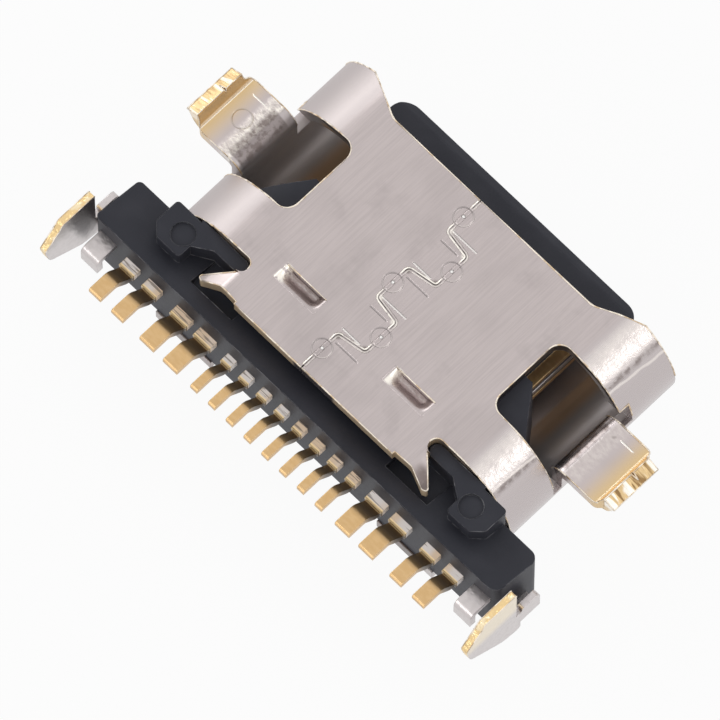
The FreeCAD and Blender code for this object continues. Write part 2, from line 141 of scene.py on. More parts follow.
# 1 along a sharp edge: one minus the cosine between the face and the same face rounded off
def rim(wire, radius):
    own = wire.add("ShaderNodeNewGeometry", out=3)
    soft = wire.add("ShaderNodeBevel", {"samples": 8}, {"Radius": radius * mm})
    dot = wire.add("ShaderNodeVectorMath", {"operation": "DOT_PRODUCT"}, {0: own, 1: soft}, 1)
    return (1 - dot).rise(0.02, 0.16)


# closes a material: principled shader, softened edges and a bump of the given height in millimetres
def closeMaterial(wire, colour, roughness, metallic, height=None, bump=1.0, edge=0.02, **plain):
    sockets = {"Base Color": colour, "Roughness": roughness, "Metallic": metallic, **plain}
    soft = wire.add("ShaderNodeBevel", {"samples": 6}, {"Radius": edge * mm})
    if height is None:
        sockets["Normal"] = soft
    else:
        sockets["Normal"] = wire.add("ShaderNodeBump", {}, {"Strength": bump, "Distance": mm,
                                                            "Height": height, "Normal": soft})
    shader = wire.add("ShaderNodeBsdfPrincipled", {}, sockets)
    wire.add("ShaderNodeOutputMaterial", {}, {"Surface": shader})


# below, a pair is where a soft step starts and ends, and a third number is how soft both ends of a band are;
# the factor beside a mask is its strength, and the steps of a noise lie in its own range, about 0.3 to 0.7
# of these colours, bright and glint are painted highlights; shade is painted shade, also used for the darker
# patches of the right wing; inner is painted shade inside the shell, glow a painted warm reflection and pale a
# painted light on the inner walls
nickel = {"colour": (0.545, 0.482, 0.475), "dark": (0.40, 0.355, 0.35), "bright": (0.84, 0.775, 0.735),
          "shade": (0.17, 0.135, 0.125), "side": (0.535, 0.487, 0.485), "gold": (0.70, 0.51, 0.27),
          "glint": (0.97, 0.92, 0.84), "cut": (0.74, 0.56, 0.36), "inner": (0.42, 0.375, 0.36),
          "glow": (0.50, 0.30, 0.14), "pale": (0.72, 0.67, 0.66), "rust": (0.24, 0.13, 0.05),
          "roughness": 0.27, "brush": 0.0010, "dent": 0.020, "edge": 0.035,
          "topZ": (3.10, 3.15), "rightX": (-2.0, 2.0)}
arch = {"x": 3.07, "z": 1.58, "inner": (1.40, 1.46), "skinX": (3.0, 3.1), "bendX": (3.0, 3.2),
        "upperZ": (2.0, 2.3), "bandX": (3.5, 4.08, 0.14), "streakX": (4.10, 4.19, 0.05),
        "creaseX": 4.25, "creaseY": 1.9, "lean": 0.05, "sway": 0.12, "crease": (0.008, 0.032)}
window = {"rightX": (3.00, 3.42, 0.12), "rightY": (-0.1, 0.9), "leftX": (3.50, 3.85, 0.12),
          "leftY": (0.3, 1.2), "paleX": (3.42, 3.95)}
wings = {"x": (4.66, 4.72), "z": (1.9, 2.1), "rootX": (4.62, 5.02, 0.10), "shadeX": (4.70, 5.35, 0.1),
         "foldRightX": (4.42, 4.66, 0.05), "foldLeftX": (4.42, 4.84, 0.06), "foldZ": (1.9, 2.05),
         "foldY": (-0.1, 1.17, 0.02), "goldX": (5.05, 5.62), "lipX": (5.56, 5.60, 0.012),
         "lipZ": (2.3, 2.33), "stumpX": (5.70, 5.73), "crinkle": 0.038, "torn": 0.03}
wingMark = {"x": 5.13, "y": 0.59, "radius": 0.21, "half": 0.015, "soft": 0.012, "z": (2.2, 2.3),
            "lineY": 1.11, "lineX": (5.0, 5.35), "lineWidth": 0.025, "depth": 0.010,
            "ring": (0.30, 0.27, 0.22), "line": (0.95, 0.92, 0.86)}
shears = {"flat": (0.15, 0.3), "rearY": (-1.65, -1.55), "innerX": (0.5, 0.6), "outerX": (3.6, 3.8),
          "z": (1.5, 1.7), "windowX": (2.7, 2.75), "windowZ": (2.84, 2.88), "tabX": (2.2, 3.4, 0.05),
          "tabY": (-2.30, -2.12), "tabZ": (2.86, 3.15), "tipX": (2.60, 2.90)}
lance = {"x": 1.52, "y": -1.34, "length": 1.10, "width": 0.38, "depth": 0.21, "ramp": 0.27, "lip": 0.02,
         "top": 3.162, "wall": 0.03, "grid": (61, 25), "brim": 0.02, "bowl": (0.04, 0.75),
         "pocketX": 0.56, "pocketY": (-1.56, -1.13, 0.01), "pocketZ": (3.0, 3.15),
         "litX": (1.0, 2.1, 0.02), "litY": (-1.53, -1.13, 0.03), "litEnd": (-0.46, -0.28)}
# of two entries the first belongs to the teeth that point left, the second to those that point right
seam = {"ringX": 0.33, "firstY": -1.92, "pitch": 0.985, "rings": 5, "radius": 0.21, "inward": 0.018,
        "outward": 0.012, "soft": 0.012, "dot": (0.02, 0.05), "coin": 0.014, "boss": 0.03,
        "jogNear": (0.085, 0.125), "jogFar": (-0.215, -0.17), "nearX": ((-0.34, 0.14), (-0.27, 0.40)),
        "farX": ((-0.23, 0.38), (-0.30, 0.17)), "nearWidth": 0.032, "farWidth": 0.028,
        "turn": 0.40, "turnX": 0.85, "turnReach": (0.02, 0.10), "dim": (0.16, 0.13, 0.12),
        "ringDark": (0.22, 0.20, 0.20), "dotPale": (0.92, 0.90, 0.88), "lineDark": (0.25, 0.23, 0.23),
        "linePale": (0.86, 0.83, 0.80), "gap": (0.08, 0.07, 0.065)}


# a thin straight line along X in the top view, soft at its ends
def streak(x, y, x0, x1, at, width):
    return x.band(x0, x1, 0.02) * (1 - abs(y - at).rise(width * 0.3, width))


# the places, noises and masks that the marks of the shell share
class ShellMasks:
    def __init__(self, w):
        self.x, self.y, self.z = axes(w)
        self.side = abs(self.x)
        self.lines = noise(w, (34, 0.9, 34), detail=4.0, rough=0.72)
        self.cloud = noise(w, (0.6, 0.6, 0.6), detail=2.0)
        self.stain = noise(w, (1.3, 1.3, 1.3), detail=3.0, rough=0.65)
        self.peel = noise(w, (6, 6, 6), detail=4.0, rough=0.62)
        self.foil = noise(w, (7, 15, 7), detail=4.0, rough=0.7)
        self.torn = noise(w, (1.4, 6.5, 1.4), detail=2.0, rough=0.5)
        self.top = self.z.rise(*nickel["topZ"])
        self.right = self.x.rise(*nickel["rightX"])
        self.wing = self.side.rise(*wings["x"])
        self.stump = self.side.rise(*wings["stumpX"]) * self.wing
        self.rumpled = (self.side.band(*wings["rootX"]) * self.z.rise(*wings["z"]) * self.wing
                        * (1 - self.right * 0.75))
        arc = reach(self.side, self.z, arch["x"], arch["z"])
        inside = (1 - arc.rise(*arch["inner"])) * self.side.rise(*arch["skinX"])
        skinned = (1 - inside) * (1 - self.wing)
        self.hidden = (1 - skinned) * (1 - self.wing)
        self.bends = (1 - self.top) * skinned * self.side.rise(*arch["bendX"])
        self.upper = self.bends * self.z.rise(*arch["upperZ"])
        self.band = self.side.band(*arch["bandX"]) * self.upper
        self.steep = 1 - facing(w, 2).rise(*shears["flat"])
        self.behind = 1 - self.y.rise(*shears["rearY"])
        self.cut = (self.steep * self.behind * self.side.rise(*shears["innerX"]) * (1 - self.wing)
                    * (1 - self.side.rise(*shears["outerX"])) * self.z.rise(*shears["z"]))
        self.pocket = (self.side.band(lance["x"] - lance["pocketX"], lance["x"] + lance["pocketX"], 0.01)
                       * self.y.band(*lance["pocketY"]) * (1 - self.z.rise(*lance["pocketZ"])))


# the brushed top with stains in places, the plain round sides, and the inside darkened by painted shade, with
# painted warm reflections and a painted light on its deeper side walls
def plainTints(w, m):
    colour = paint(w, nickel["colour"]).tint(m.lines.rise(0.32, 0.70) * 0.42 * m.top, nickel["dark"])
    colour = colour.tint(m.cloud.rise(0.45, 0.66) * 0.25, nickel["dark"])
    colour = colour.tint(m.stain.rise(0.54, 0.70) * 0.30 * m.top, nickel["dark"])
    # the round sides in their own tone; the inside darkened with painted shade
    colour = colour.tint(m.bends * 0.8, nickel["side"]).tint(m.hidden, nickel["inner"])
    # painted warm reflections seen through each window
    rightReflection = m.side.band(*window["rightX"]) * m.y.rise(*window["rightY"]) * m.right
    leftReflection = m.side.band(*window["leftX"]) * m.y.rise(*window["leftY"]) * (1 - m.right) * 1.3
    colour = colour.tint(m.hidden * (rightReflection + leftReflection) * 0.6, nickel["glow"])
    # painted light on the deeper inner side walls, strongest on the right
    return colour.tint(m.hidden * m.side.rise(*window["paleX"]) * (0.15 + m.right * 0.7), nickel["pale"])


# on the round sides a painted highlight mottled by the orange peel; on the right also a painted shade streak
# and a crooked crease drawn as a painted highlight
def archTints(m, colour):
    # painted highlight on the round sides, mottled by the peel noise, strongest on the right
    peelHighlight = 0.42 + m.peel.rise(0.25, 0.75) * 0.35
    colour = colour.tint(m.band * (0.10 + m.right * peelHighlight), nickel["bright"])
    # painted shade: a dark streak on the right round side
    streaky = m.side.band(*arch["streakX"]) * m.upper * (0.35 + m.peel.rise(0.40, 0.60) * 0.65)
    colour = colour.tint(streaky * m.right * 0.75, nickel["shade"])
    # a painted highlight along a crooked crease on the right
    crooked = m.side - arch["creaseX"] - (m.y - arch["creaseY"]) * arch["lean"]
    crooked = crooked + (m.stain - 0.5) * arch["sway"]
    crease = (1 - abs(crooked).rise(*arch["crease"])) * m.upper
    return colour.tint(crease * m.right * 0.7, nickel["bright"])


# the wings: painted highlights and painted shade on the crinkled root, the right wing darker in patches,
# painted shade in the fold, golden towards the end with a painted highlight on the lip, and torn off there with
# painted highlights and rust on the torn end
def wingTints(m, colour):
    # painted highlights and painted shade on the crinkled root
    colour = colour.tint(m.rumpled * (0.30 + m.foil.rise(0.45, 0.62) * 0.55), nickel["glint"])
    colour = colour.tint(m.rumpled * (1 - m.foil.rise(0.34, 0.46)) * 0.35, nickel["shade"])
    # the right wing darkened in patches
    darkPatches = m.side.band(*wings["shadeX"]) * m.wing * m.right * (1 - m.stain.rise(0.34, 0.42))
    colour = colour.tint(darkPatches * 0.7, nickel["shade"])
    # painted shade in the fold
    fold = m.side.band(*wings["foldRightX"]) * m.right + m.side.band(*wings["foldLeftX"]) * (1 - m.right)
    fold = fold * m.z.rise(*wings["foldZ"]) * m.y.band(*wings["foldY"])
    colour = colour.tint(fold * (0.55 + m.peel.rise(0.45, 0.60) * 0.3), nickel["shade"])
    colour = colour.tint(m.side.rise(*wings["goldX"]) * m.z.rise(*wings["z"]), nickel["gold"])
    # painted highlight along the lip
    colour = colour.tint(m.side.band(*wings["lipX"]) * m.z.rise(*wings["lipZ"]), nickel["glint"])
    # painted highlights on the torn end, rust in places
    colour = colour.tint(m.stump * m.torn.rise(0.50, 0.58) * (0.55 + m.right * 0.4), nickel["glint"])
    return colour.tint(m.stump * (1 - m.torn.rise(0.38, 0.46)) * (0.35 + m.right * 0.5), nickel["rust"])


# the sheared rear edges; painted shade on the walls of the windows, on the curled tabs and in the pockets of
# the lances; a painted highlight at the outer end of each lance
def rearTints(m, colour):
    colour = colour.tint(m.cut * 0.9, nickel["cut"])
    # painted shade on the walls of the windows
    walls = m.steep * (1 - m.behind) * m.z.rise(*shears["windowZ"]) * m.side.rise(*shears["windowX"])
    colour = colour.tint(walls * 0.85, nickel["shade"])
    # painted shade on the curled tabs where they drop, and more at the tip of the right one
    tab = m.side.band(*shears["tabX"]) * (1 - m.y.rise(*shears["tabY"])) * (1 - m.cut)
    colour = colour.tint(tab * (1 - m.z.rise(*shears["tabZ"])) * (0.5 + m.right * 0.3), nickel["shade"])
    tip = tab * m.right * m.side.rise(*shears["tipX"])
    colour = colour.tint(tip * (0.55 + m.peel.rise(0.42, 0.55) * 0.25), nickel["shade"])
    # painted shade in the pockets of the lances
    colour = colour.tint(m.pocket * m.stain.rise(0.42, 0.56) * 0.5, nickel["inner"])
    # painted highlight at the outer end of each lance
    along = m.x - m.x.maths("SIGN", m.x) * lance["x"]
    lit = (1 - along.rise(*lance["litEnd"])) * m.side.band(*lance["litX"]) * m.y.band(*lance["litY"])
    return colour.tint(lit * m.peel.rise(0.40, 0.52), nickel["glint"])


# a coined ring with a dot in each tooth of the seam, the ring with painted shade on one side and a painted
# highlight on the other and the dot a painted highlight; between each two a painted highlight line and a
# painted shade line; and where the seam turns a spot, a painted highlight in odd teeth and painted shade in
# even ones
def seamMarks(m, colour, height):
    for k in range(seam["rings"]):
        odd = k % 2
        way = 1 if odd else -1
        at = seam["firstY"] + k * seam["pitch"]
        r = reach(m.x, m.y, way * seam["ringX"], at)
        ring = r.band(seam["radius"] - seam["inward"], seam["radius"] + seam["outward"], seam["soft"]) * m.top
        dot = (1 - r.rise(*seam["dot"])) * m.top
        # lit runs across each ring: painted shade on one side, painted highlight on the other; the dot is a
        # painted highlight
        lit = ((m.x - way * seam["ringX"]) * 0.7 - (m.y - at) * 0.7).rise(-0.2, 0.2)
        colour = colour.tint(ring * (0.5 - lit * 0.3), seam["ringDark"])
        colour = colour.tint(ring * lit * 0.35, nickel["bright"]).tint(dot, seam["dotPale"])
        height = height - ring * seam["coin"] + dot * seam["boss"]
        if k + 1 == seam["rings"]:
            break
        middle = at + seam["pitch"] / 2
        near, far = middle + seam["jogNear"][odd], middle + seam["jogFar"][odd]
        # on the step between two teeth, a painted highlight line and a painted shade line
        pale = streak(m.x, m.y, *seam["nearX"][odd], near, seam["nearWidth"]) * m.top
        dark = streak(m.x, m.y, *seam["farX"][odd], far, seam["farWidth"]) * m.top
        height = height + pale * seam["coin"] * 1.6 - dark * seam["coin"]
        colour = colour.tint(dark * 0.5, seam["lineDark"]).tint(pale * 0.7, seam["linePale"])
        # a spot where the seam turns: painted highlight in odd teeth, painted shade in even ones
        for turnX, turnY in ((way, at + seam["turn"]), (-way, at + seam["pitch"] - seam["turn"])):
            corner = reach(m.x, m.y, turnX * seam["ringX"] * seam["turnX"], turnY)
            spot = (1 - corner.rise(*seam["turnReach"])) * m.top * (0.4 + m.peel.rise(0.35, 0.55) * 0.6)
            colour = colour.tint(spot * 0.75, nickel["glint"] if odd else seam["dim"])
    return colour, height


# a ring on the left wing and a bright scratch on both
def wingMarks(m, colour, height):
    r = reach(m.side, m.y, wingMark["x"], wingMark["y"])
    lifted = m.z.rise(*wingMark["z"])
    inner, outer = wingMark["radius"] - wingMark["half"], wingMark["radius"] + wingMark["half"]
    ring = r.band(inner, outer, wingMark["soft"]) * lifted * (1 - m.right)
    scratch = streak(m.side, m.y, *wingMark["lineX"], wingMark["lineY"], wingMark["lineWidth"]) * lifted
    colour = colour.tint(ring * 0.35, wingMark["ring"]).tint(scratch * 0.8, wingMark["line"])
    return colour, height - ring * wingMark["depth"] + scratch * wingMark["depth"]


# the closed seam by the ribbon's own attributes: painted shade in the gap between two ridges, which carry a
# painted highlight, the left one brighter
def pressedTints(w, m, colour):
    signed = w.add("ShaderNodeAttribute", {"attribute_name": "across"}, out=2)
    across = abs(signed)
    jog = w.add("ShaderNodeAttribute", {"attribute_name": "jog"}, out=2)
    # painted shade in the gap and a painted highlight on the ridges, stronger on the left
    shut = (1 - across.rise(0.10, 0.30)) * (0.08 + jog * (0.40 + m.peel.rise(0.42, 0.58) * 0.5))
    ridge = across.band(0.30, 0.90, 0.10) * jog * (0.25 + m.peel.rise(0.38, 0.52) * 0.75)
    ridge = ridge * (1 - signed.rise(-0.1, 0.1) * 0.6)
    return colour.tint(ridge, nickel["glint"]).tint(shut, seam["gap"])


# the shell's nickel; pressed adds the closed seam
def shellMaterial(name, pressed=False):
    made, w = startMaterial(name)
    m = ShellMasks(w)
    colour = rearTints(m, wingTints(m, archTints(m, plainTints(w, m))))
    height = m.lines * nickel["brush"] * m.top + m.cloud * nickel["dent"] + m.torn * m.stump * wings["torn"]
    height = height + m.peel * (m.band * m.right * 0.012 + m.bends * 0.003 + m.pocket * 0.015)
    height = height + m.foil * m.rumpled * wings["crinkle"]
    colour, height = wingMarks(m, *seamMarks(m, colour, height))
    if pressed:
        colour = pressedTints(w, m, colour)
    rough = nickel["roughness"] + m.lines * 0.10 - m.bends * 0.05 + m.bends * (1 - m.right) * 0.20
    closeMaterial(w, colour, rough, 1.0 - m.cut * 0.6 - m.hidden * 0.5, height, edge=nickel["edge"])
    return made


plastic = {"colour": (0.038, 0.039, 0.050), "light": (0.054, 0.055, 0.068), "scuff": (0.19, 0.19, 0.205),
           "insert": (0.015, 0.015, 0.018), "roughness": 0.42, "grain": 0.003, "edge": 0.03,
           "rubbed": 0.05, "gloss": 0.22}


def plasticMaterial(name, colour):
    made, w = startMaterial(name)
    grain = noise(w, (16, 16, 16), detail=3.0, rough=0.6)
    cloud = noise(w, (1.2, 1.2, 1.2), detail=2.0)
    scuff = noise(w, (3, 3, 3), detail=3.0, rough=0.7).rise(0.42, 0.62)
    shade = paint(w, colour).tint(cloud.rise(0.4, 0.7) * 0.5, plastic["light"])
    shade = shade.tint(rim(w, plastic["rubbed"]) * scuff * 0.8, plastic["scuff"])
    closeMaterial(w, shade, plastic["roughness"] + grain * 0.14, 0.0, grain * plastic["grain"],
                  edge=plastic["edge"], **{"Specular IOR Level": plastic["gloss"]})
    return made


sheetSteel = {"colour": (0.62, 0.575, 0.57), "gold": (0.84, 0.62, 0.32), "pale": (0.95, 0.83, 0.60),
              "ripple": (0.48, 0.45, 0.43), "shade": (0.30, 0.27, 0.25), "roughness": 0.26,
              "wave": 0.008, "torn": 0.08, "edge": 0.03, "legX": (5.84, 5.86), "legY": (-2.62, -2.56),
              "legZ": (1.7, 1.9), "faceX": (5.93, 5.97), "armX": (5.5, 5.88, 0.03), "armZ": (2.0, 2.6),
              "legTop": 2.95, "slopeY": -3.68, "slope": 1.25, "goldDepth": (0.0, 0.42)}


# steel; the upper edge of the end legs and the outer face just under it are golden, and that edge drops
# behind slopeY; the arms take a painted shade
def plateMaterial():
    made, w = startMaterial("plateSteel")
    x, y, z = axes(w)
    side = abs(x)
    ripple = noise(w, (9, 9, 9), detail=3.0)
    torn = noise(w, (5, 5, 5), detail=3.0)
    leg = side.rise(*sheetSteel["legX"]) * z.rise(*sheetSteel["legZ"]) * (1 - y.rise(*sheetSteel["legY"]))
    edge = (1 - facing(w, 0).rise(0.5, 0.7)) * leg
    drop = (sheetSteel["slopeY"] - y).maths("MAXIMUM", 0.0) * sheetSteel["slope"]
    under = sheetSteel["legTop"] - drop - z
    outer = side.rise(*sheetSteel["faceX"]) * (1 - under.rise(*sheetSteel["goldDepth"])) * (1 - edge)
    arm = side.band(*sheetSteel["armX"]) * z.rise(*sheetSteel["armZ"])
    gold = paint(w, sheetSteel["gold"]).tint(torn.rise(0.50, 0.62) * 0.7, sheetSteel["pale"])
    colour = paint(w, sheetSteel["colour"]).tint(ripple.rise(0.4, 0.7) * 0.25, sheetSteel["ripple"])
    # painted shade on the arms
    colour = colour.tint(arm * 0.5, sheetSteel["shade"]).tint(outer * 0.6, sheetSteel["pale"])
    height = ripple * sheetSteel["wave"] + torn * edge * sheetSteel["torn"]
    closeMaterial(w, colour.tint(edge, gold), sheetSteel["roughness"] + ripple * 0.1, 1.0, height,
                  edge=sheetSteel["edge"])
    return made


# ramp is a painted dark reflection; lip and rim are painted highlights
gilt = {"colour": (0.64, 0.42, 0.20), "bright": (0.76, 0.54, 0.30), "tin": (0.66, 0.61, 0.58),
        "worn": (0.62, 0.45, 0.29), "ramp": (0.110, 0.078, 0.052), "scratch": (0.16, 0.13, 0.11),
        "lip": (0.93, 0.70, 0.38), "rim": (0.92, 0.72, 0.42), "roughness": 0.27, "grain": 0.004,
        "slope": 0.35, "edge": 0.025, "rimRadius": 0.02, "rampY": (-3.74, -3.42), "rampEndY": (-3.24, -3.20),
        "stubY": (-3.20, -2.40, 0.02), "lipY": (-3.26, -3.18, 0.01), "lipZ": (1.90, 1.95)}


# gold with a painted dark reflection on the ramp behind the bar, and painted highlights on the lip at the
# stub's end and along the sharp edges; the stub is tinned and scratched, and its bump leans it to the rear
def contactMaterial():
    made, w = startMaterial("gildedContact")
    y, z = axes(w)[1:]
    grain = noise(w, (6, 14, 14), detail=3.0)
    lines = noise(w, (1.2, 26, 26), detail=2.0, rough=0.65)
    warm = noise(w, (1.6, 0.3, 0.3), detail=1.0)
    stub = y.band(*gilt["stubY"])
    ramp = y.rise(*gilt["rampY"]) * (1 - y.rise(*gilt["rampEndY"]))
    tin = paint(w, gilt["tin"]).tint(warm.rise(0.45, 0.60) * 0.8, gilt["worn"])
    colour = paint(w, gilt["colour"]).tint(grain.rise(0.35, 0.7) * 0.35, gilt["bright"])
    # painted dark reflection on the ramp
    colour = colour.tint(ramp * 0.93, gilt["ramp"]).tint(stub, tin)
    colour = colour.tint(stub * lines.rise(0.55, 0.60) * 0.8, gilt["scratch"])
    # painted highlight on the lip at the stub's end
    colour = colour.tint(y.band(*gilt["lipY"]) * z.rise(*gilt["lipZ"]) * 0.85, gilt["lip"])
    # painted highlight along the sharp edges
    colour = colour.tint(rim(w, gilt["rimRadius"]) * (1 - ramp) * 0.6, gilt["rim"])
    height = grain * gilt["grain"] + stub * (y - gilt["stubY"][0]) * gilt["slope"]
    closeMaterial(w, colour, gilt["roughness"] + grain * 0.12, 1 - ramp * 0.75 - stub * 0.2, height,
                  edge=gilt["edge"])
    return made


# the thin burr that the shears leave: white gold, browner in places
burrTint = {"pale": (0.93, 0.84, 0.72), "gold": (0.72, 0.56, 0.38), "roughness": 0.30, "metal": 0.85,
            "grain": 0.004}


def burrMaterial():
    made, w = startMaterial("shearedBurr")
    patch = noise(w, (3.5, 3.5, 3.5), detail=3.0, rough=0.6)
    colour = paint(w, burrTint["pale"]).tint(patch.rise(0.48, 0.60), burrTint["gold"])
    closeMaterial(w, colour, burrTint["roughness"] + patch * 0.15, burrTint["metal"], patch * burrTint["grain"])
    return made


# rubbed plastic along its edges: its own colour with pale patches
def scuffMaterial():
    made, w = startMaterial("rubbedEdge")
    patch = noise(w, (2.2, 2.2, 2.2), detail=4.0, rough=0.7)
    colour = paint(w, plastic["colour"]).tint(patch.rise(0.48, 0.62), plastic["scuff"])
    closeMaterial(w, colour, plastic["roughness"] + patch * 0.1, 0.0)
    return made


finishes = {"shell_metal": shellMaterial("brushedNickel"),
            "housing_plastic": plasticMaterial("barPlastic", plastic["colour"]),
            "insert_plastic": plasticMaterial("insertPlastic", plastic["insert"]),
            "plate_metal": plateMaterial(), "contact_gold": contactMaterial()}
burrFinish = burrMaterial()
scuffFinish = scuffMaterial()
seamFinish = shellMaterial("pressedSeam", pressed=True)
print("materials made:", len(finishes))

smoothing = {"weld": 1e-7, "flatAngle": 0.4, "sharpAngle": 42.0}


# ties a finished mesh to the part: its place in the scene, the body it rides and its finish
def settle(name, mesh, finish):
    mesh.materials.clear()
    mesh.materials.append(finish)
    piece = bpy.data.objects.new(name, mesh)
    bpy.context.scene.collection.objects.link(piece)
    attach(piece, "root")
    return piece


burr = {"radius": 0.015, "sway": 0.35, "sides": 6, "overlap": 0.3, "wave": (9.0, 7.0, 5.0)}


# a fine bead along every given edge: each end has a ring, centre + radius (side cos a + up sin a), whose
# radius swings with the place as 1 + sway sin(wave . place)
def beads(name, edges, finish, thick=1.0):
    starts, ends = (np.array([list(edge.verts[k].co) for edge in edges]) for k in (0, 1))
    along = (ends - starts) / np.linalg.norm(ends - starts, axis=1, keepdims=True)
    helper = np.where(abs(along[:, 2:]) < 0.7, [[0.0, 0.0, 1.0]], [[1.0, 0.0, 0.0]])
    side = np.cross(along, helper)
    side /= np.linalg.norm(side, axis=1, keepdims=True)
    up = np.cross(along, side)
    count = burr["sides"]
    angle = np.arange(count)[None, :, None] * math.tau / count
    around = np.cos(angle) * side[:, None] + np.sin(angle) * up[:, None]
    rings = []
    for points, way in ((starts, -burr["overlap"]), (ends, burr["overlap"])):
        swing = 1 + burr["sway"] * np.sin(points @ np.array(burr["wave"]) / mm)
        radius = (burr["radius"] * mm * thick * swing)[:, None, None]
        rings.append(points[:, None] + radius * (around + way * along[:, None]))
    verts = np.stack(rings, axis=1).reshape(-1, 3)
    near = np.arange(count)
    far = (near + 1) % count
    ring = np.stack([near, far, far + count, near + count], axis=1)
    caps = np.stack([near[::-1], near + count])
    first = np.arange(len(starts))[:, None, None] * 2 * count
    faces = (first + ring).reshape(-1, 4).tolist() + (first + caps).reshape(-1, count).tolist()
    mesh = bpy.data.meshes.new(name)
    mesh.from_pydata(verts.tolist(), [], faces)
    mesh.polygons.foreach_set("use_smooth", np.ones(len(faces), dtype=bool))
    return settle(name, mesh, finish)


# a merged copy of a solid's skin with its round parts smooth; it stands for that solid
def dress(name, slotName):
    source = nodes[name]
    work = bmesh.new()
    work.from_mesh(source.data)
    bmesh.ops.remove_doubles(work, verts=work.verts, dist=smoothing["weld"])
    bmesh.ops.dissolve_limit(work, angle_limit=math.radians(smoothing["flatAngle"]),
                             verts=work.verts, edges=work.edges)
    for face in work.faces:
        face.smooth = True
    for edge in work.edges:
        turn = edge.calc_face_angle(math.pi)
        edge.smooth = turn < math.radians(smoothing["sharpAngle"])
    if name in trimmed:
        wanted, label, finish, thick = trimmed[name]
        edges = [edge for edge in work.edges if not edge.smooth and wanted(edge)]
        beads(name + label, edges, finish, thick)
    skin = bpy.data.meshes.new(name + "Skin")
    work.to_mesh(skin)
    work.free()
    piece = settle(name + "Skin", skin, finishes[slotName])
    piece.modifiers.new("evenNormals", "WEIGHTED_NORMAL").keep_sharp = True
    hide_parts(name)
    return piece


# the middle of an edge in millimetres and the highest upward part of its two faces' normals
def edgePlace(edge):
    middle = (edge.verts[0].co + edge.verts[1].co) / 2 / mm
    return middle, max(face.normal.z for face in edge.link_faces)


# limits in millimetres; shellUp and edgeUp say how far an edge has to look up, from 0 to 1
trimAt = {"shellUp": 0.2, "shellZ": 1.7, "seamX": 0.5, "seamY": -2.35, "seamZ": 3.1, "lanceX": 0.7,
          "lanceY": (-1.7, -1.16), "foldX": (2.45, 2.8), "foldY": (-2.05, -1.8), "foldZ": 2.9,
          "edgeUp": 0.3, "legX": 5.8, "legZ": 2.2, "barY": -0.9, "barZ": 2.6}


# whether a value lies between two limits
def within(value, limits):
    return limits[0] < value < limits[1]


# every edge of the shell that looks up, but for the seam, the lances and the folds of the rear tabs
def shellBurr(edge):
    place, upward = edgePlace(edge)
    side = abs(place.x)
    seamed = side < trimAt["seamX"] and place.z > trimAt["seamZ"] and place.y > trimAt["seamY"]
    dished = abs(side - lance["x"]) < trimAt["lanceX"] and within(place.y, trimAt["lanceY"])
    crossed = within(side, trimAt["foldX"]) and within(place.y, trimAt["foldY"]) and place.z > trimAt["foldZ"]
    kept = upward > trimAt["shellUp"] and place.z > trimAt["shellZ"]
    return kept and not (seamed or dished or crossed)


# the upper edges of the two end legs
def legBurr(edge):
    place, upward = edgePlace(edge)
    return upward > trimAt["edgeUp"] and place.z > trimAt["legZ"] and abs(place.x) > trimAt["legX"]


# the upper edges of the long bar and its blocks
def barScuff(edge):
    place, upward = edgePlace(edge)
    return upward > trimAt["edgeUp"] and place.z > trimAt["barZ"] and place.y < trimAt["barY"]


# by node: which edges, what the piece is called, its finish and how thick
trimmed = {"shell": (shellBurr, "Burr", burrFinish, 1.0),
           "middle_plate": (legBurr, "Burr", burrFinish, 1.0),
           "rear_housing": (barScuff, "Scuff", scuffFinish, 0.5)}


# a surface of points over two parameters, its quads turned outwards as the rows and columns run
def gridMesh(name, points):
    rows, columns = points.shape[:2]
    index = np.arange(rows * columns).reshape(rows, columns)
    quads = np.stack([index[:-1, :-1], index[1:, :-1], index[1:, 1:], index[:-1, 1:]], axis=-1)
    mesh = bpy.data.meshes.new(name)
    mesh.from_pydata((points.reshape(-1, 3) * mm).tolist(), [], quads.reshape(-1, 4).tolist())
    mesh.polygons.foreach_set("use_smooth", np.ones(len(mesh.polygons), dtype=bool))
    return mesh


def smooth(t, low, high):
    t = np.clip((t - low) / (high - low), 0, 1)
    return t * t * (3 - 2 * t)


# gives a single skin its wall, downwards, with its rims closed
def thicken(piece, wall):
    solid = piece.modifiers.new("wall", "SOLIDIFY")
    solid.thickness, solid.offset = wall * mm, -1.0


# the dished metal of a lance: level along one long side and both ends, deepest at the slit;
# depth(u, v) = depth * rise(u) * fall(u) * rise(v), each a smooth step
def makeLance(name, centreX):
    u, v = np.meshgrid(*(np.linspace(0, 1, count) for count in lance["grid"]), indexing="ij")
    length = lance["length"] + 2 * lance["lip"]
    x = centreX + (u - 0.5) * length
    y = lance["y"] - lance["width"] / 2 - lance["lip"] + v * (lance["width"] + lance["lip"])
    brim, ramp = lance["brim"], lance["ramp"] / length
    bowl = smooth(u, brim, ramp) * (1 - smooth(u, 1 - ramp, 1 - brim)) * smooth(v, *lance["bowl"])
    z = lance["top"] - lance["depth"] * bowl
    mesh = gridMesh(name, np.stack([x, y, z], axis=-1))
    thicken(settle(name, mesh, finishes["shell_metal"]), lance["wall"])


ribbon = {"halfWidth": 0.055, "crown": 0.005, "level": 3.1605, "tooth": 0.89, "blur": 0.16, "step": 0.01,
          "backY": -2.43, "frontY": 2.48, "columns": 9, "inward": 0.02, "outward": 0.10, "wall": 0.012}


